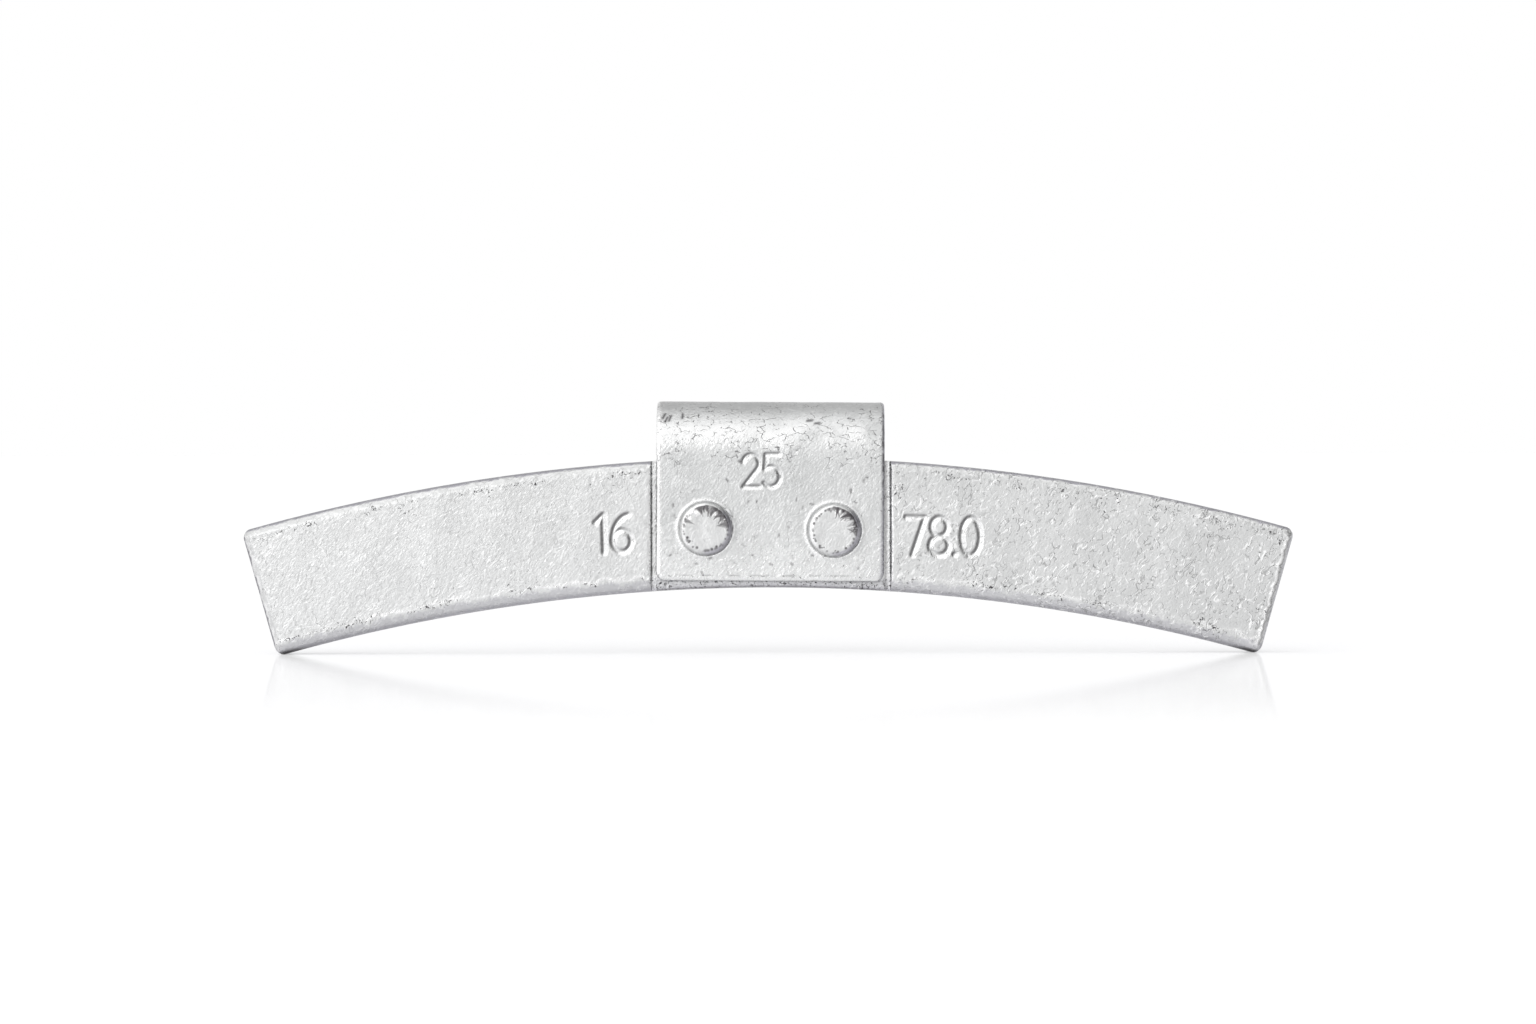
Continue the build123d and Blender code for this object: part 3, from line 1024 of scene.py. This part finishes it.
def zinc_coat(name, pale, dull, smooth, rough, grain, crinkle):
    """A satin zinc coat between two tones and two roughnesses, with grain and crinkles in millimetres."""
    material = bpy.data.materials.new(name)
    material.use_nodes = True
    tree = material.node_tree
    shader = tree.nodes["Principled BSDF"]
    place = node(tree, "TexCoord").outputs["Object"]
    slanted = node(tree, "Mapping", {
        "Vector": place, "Rotation": (0, radians(-50), 0), "Scale": (1.6, 1.0, 1.0),
    }, vector_type="TEXTURE").outputs[0]
    layer = {each: node(tree, "Attribute", attribute_name=each).outputs["Fac"] for each in LAYERS}
    ridges, furrows = crinkle_lines(tree, slanted, layer["crinkled"])
    dark = dark_marks(tree, place, layer)

    patches = between(tree, noise(tree, place, 170.0, 4.0), 0.3, 0.7)
    flecks = noise(tree, place, 2600.0, 3.0)
    tone = tint(tree, patches, pale, dull)
    tone = tint(tree, between(tree, flecks, 0.35, 0.7, 0.0, 0.4), tone, dull)
    # Painted highlights, lighter painted ridges, painted grey shade, darker painted furrows, then stains,
    # painted shade and dark marks.
    for share, strength, colour in (
        (layer["bright"], 0.85, HIGHLIGHT_WHITE), (layer["painted_shade"], 0.9, PAINTED_SHADE_GREY),
        (ridges, 0.4, HIGHLIGHT_WHITE), (furrows, 0.36, FURROW_SHADE_GREY), (dark, 1.0, DARK_SCALE_AND_SHADE),
    ):
        tone = tint(tree, calc(tree, "MULTIPLY", share, strength), tone, colour)
    roughness = between(tree, flecks, 0.3, 0.7, smooth, rough)
    roughness = calc(tree, "MULTIPLY_ADD", layer["bright"], -0.18, roughness)

    height = calc(tree, "MULTIPLY", noise(tree, slanted, 4600.0, 2.0), grain)
    for mark, rise in ((ridges, crinkle), (furrows, -crinkle), (dark, -0.03)):
        height = calc(tree, "MULTIPLY_ADD", mark, rise, height)
    bump = node(tree, "Bump", {"Height": height, "Distance": MM, "Strength": 1.0})
    tree.links.new(tone, shader.inputs["Base Color"])
    tree.links.new(roughness, shader.inputs["Roughness"])
    tree.links.new(bump.outputs["Normal"], shader.inputs["Normal"])
    shader.inputs["Metallic"].default_value = 1.0
    print(name, "has", len(tree.nodes), "nodes")
    return material


# %% Three coats, for bar, clip and heads
bar_coat = zinc_coat(
    "bar_coat", pale=(0.68, 0.684, 0.683, 1), dull=(0.615, 0.619, 0.618, 1),
    smooth=0.3, rough=0.42, grain=0.045, crinkle=0.02)
clip_coat = zinc_coat(
    "clip_coat", pale=(0.655, 0.661, 0.66, 1), dull=(0.575, 0.581, 0.58, 1),
    smooth=0.28, rough=0.38, grain=0.05, crinkle=0.018)
head_coat = zinc_coat(
    "head_coat", pale=(0.70, 0.704, 0.704, 1), dull=(0.62, 0.624, 0.624, 1),
    smooth=0.28, rough=0.38, grain=0.04, crinkle=0.014)

# %% [markdown]
# ## The pieces in the frame
#
# The studs were pushed out of the bar, so bar and heads are one solid in the CAD, and both meshes stand for
# it. The clip's mesh stands for the clip. The solids could be shown with a better material instead, but
# they carry no relief.

# %% Put the pieces in the frame
for piece, coat, stands_for, slot in (
    (steel_bar, bar_coat, "weight_body", "bar_zinc"),
    (spring_clip, clip_coat, "rim_clip", "clip_zinc"),
    (stud_heads, head_coat, "weight_body", "bar_zinc"),
):
    piece.data.materials.clear()
    piece.data.materials.append(coat)
    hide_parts(stands_for)
    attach(piece, "root")
    print(piece.name, "stands for", stands_for)

# %% [markdown]
# ## Floor and light
#
# The weight stands on a white table in a light tent: nearly the same soft white from everywhere, brighter
# from the upper left in front, dimmer from the right and from above and behind. A world whose brightness
# depends only on direction does this without noise, and one soft lamp in front at the left gives the edges
# their sparkle. The table is matt, with a glossy strip round the weight that mirrors its foot, and it is
# lifted to full white for the camera.

# %% Floor
floor_mesh = bpy.data.meshes.new("table")
floor_mesh.from_pydata([(-3, -3, 0), (3, -3, 0), (3, 3, 0), (-3, 3, 0)], [], [(0, 1, 2, 3)])
table = add_object("table", floor_mesh)
table_white = bpy.data.materials.new("table_white")
table_white.use_nodes = True
tree = table_white.node_tree
tree.nodes.clear()
matt = node(tree, "BsdfDiffuse", {"Color": (0.66, 0.66, 0.66, 1)})
shine = node(tree, "BsdfGlossy", {"Color": (0.94, 0.94, 0.965, 1), "Roughness": 0.07})
place = node(tree, "SeparateXYZ", {0: node(tree, "TexCoord").outputs["Object"]}).outputs["Y"]
gloss_share = 0.31
polish = between(tree, place, -0.2, -0.07, 0.0, gloss_share)
polish = calc(tree, "MULTIPLY", polish, between(tree, place, 0.12, 0.02))
surface = node(tree, "MixShader", {0: polish, 1: matt.outputs[0], 2: shine.outputs[0]})
path = node(tree, "LightPath")
seen = calc(tree, "MAXIMUM", path.outputs["Is Camera Ray"], path.outputs["Is Glossy Ray"])
seen = calc(tree, "MAXIMUM", seen, path.outputs["Is Transmission Ray"])
lift = calc(tree, "MULTIPLY_ADD", polish, -0.36, 0.42)
glow = node(tree, "Emission", {"Strength": calc(tree, "MULTIPLY", seen, lift)})
both = node(tree, "AddShader", {0: surface.outputs[0], 1: glow.outputs[0]})
node(tree, "OutputMaterial", {"Surface": both.outputs[0]})
floor_mesh.materials.append(table_white)
print("the table's material has", len(tree.nodes), "nodes")

# %% Light tent: brighter towards the upper left in front, dimmer at the right, above and behind
world = bpy.data.worlds.new("light_tent")
bpy.context.scene.world = world
world.use_nodes = True
tree = world.node_tree
tree.nodes.clear()
towards = node(tree, "TexCoord").outputs["Generated"]
axes = node(tree, "SeparateXYZ", {0: towards})


def facing_lobe(direction, inner, outer):
    """One inside an angle round a direction, fading to zero at a wider one, in degrees."""
    direction = np.array(direction) / np.linalg.norm(direction)
    match = node(tree, "VectorMath", {0: towards, 1: tuple(direction)}, operation="DOT_PRODUCT")
    return between(tree, match.outputs["Value"], cos(radians(outer)), cos(radians(inner)))


aslant = node(tree, "VectorMath", {0: towards, 1: (-0.8, 0.0, 0.6)}, operation="DOT_PRODUCT")
slope = calc(tree, "TANH", calc(tree, "MULTIPLY", aslant.outputs["Value"], 4.0))
in_front = between(tree, axes.outputs["Y"], 0.35, -0.35)
above_rim = between(tree, axes.outputs["Z"], 0.02, 0.1)
slope = calc(tree, "MULTIPLY", calc(tree, "MULTIPLY", slope, in_front), above_rim)
brightness = calc(tree, "MULTIPLY_ADD", slope, 0.3, 1.0)
high = between(tree, axes.outputs["Z"], 0.1, 0.4)
from_behind = calc(tree, "MULTIPLY", facing_lobe((0.1, 0.77, 0.64), 20, 55), high)
brightness = calc(tree, "MULTIPLY_ADD", from_behind, -0.31, brightness)
from_right = calc(tree, "MULTIPLY", facing_lobe((0.95, -0.1, 0.3), 25, 55), above_rim)
brightness = calc(tree, "MULTIPLY_ADD", from_right, -0.6, brightness)
sky = node(tree, "Background", {"Color": (1, 1, 1, 1), "Strength": brightness})
node(tree, "OutputWorld", {"Surface": sky.outputs[0]})
print("the light tent has", len(tree.nodes), "nodes")

# %% Soft lamp near the camera, at its left
lamp = bpy.data.lights.new("soft_lamp", "AREA")
lamp.size = 0.24
lamp.energy = 0.155
soft_lamp = add_object("soft_lamp", lamp)
soft_lamp.location = (-0.18, -0.42, 0.13)
soft_lamp.rotation_euler = (-soft_lamp.location).to_track_quat("-Z", "Y").to_euler()
print(f"the lamp is {soft_lamp.location.length:.2f} m from the weight")

# %% [markdown]
# ## Camera
#
# The photograph was taken from straight in front with a long lens, about a degree above level: the
# top of the bar doesn't show, and both arms look the same length. At 645 mm a 135 mm lens sees 172 mm
# across, and the bar fills two thirds of that. The camera is rolled by an eighth of a degree, because
# the table of the photograph isn't quite level in it.

# %% Camera
lens = bpy.data.cameras.new("camera")
lens.lens = 135
lens.sensor_width = 36
lens.clip_start = 0.01
camera = add_object("camera", lens)
raised, rolled = radians(1.0), radians(0.12)
away = 645.0
aim = np.array([0.0, face_y, 15.9])
camera.location = (aim + away * np.array([0, -cos(raised), sin(raised)])) * MM
camera.rotation_euler = (pi / 2 - raised, rolled, 0)
bpy.context.scene.camera = camera
bpy.context.scene.view_settings.view_transform = "Standard"
print(f"the camera sees {away * lens.sensor_width / lens.lens:.1f} mm across")
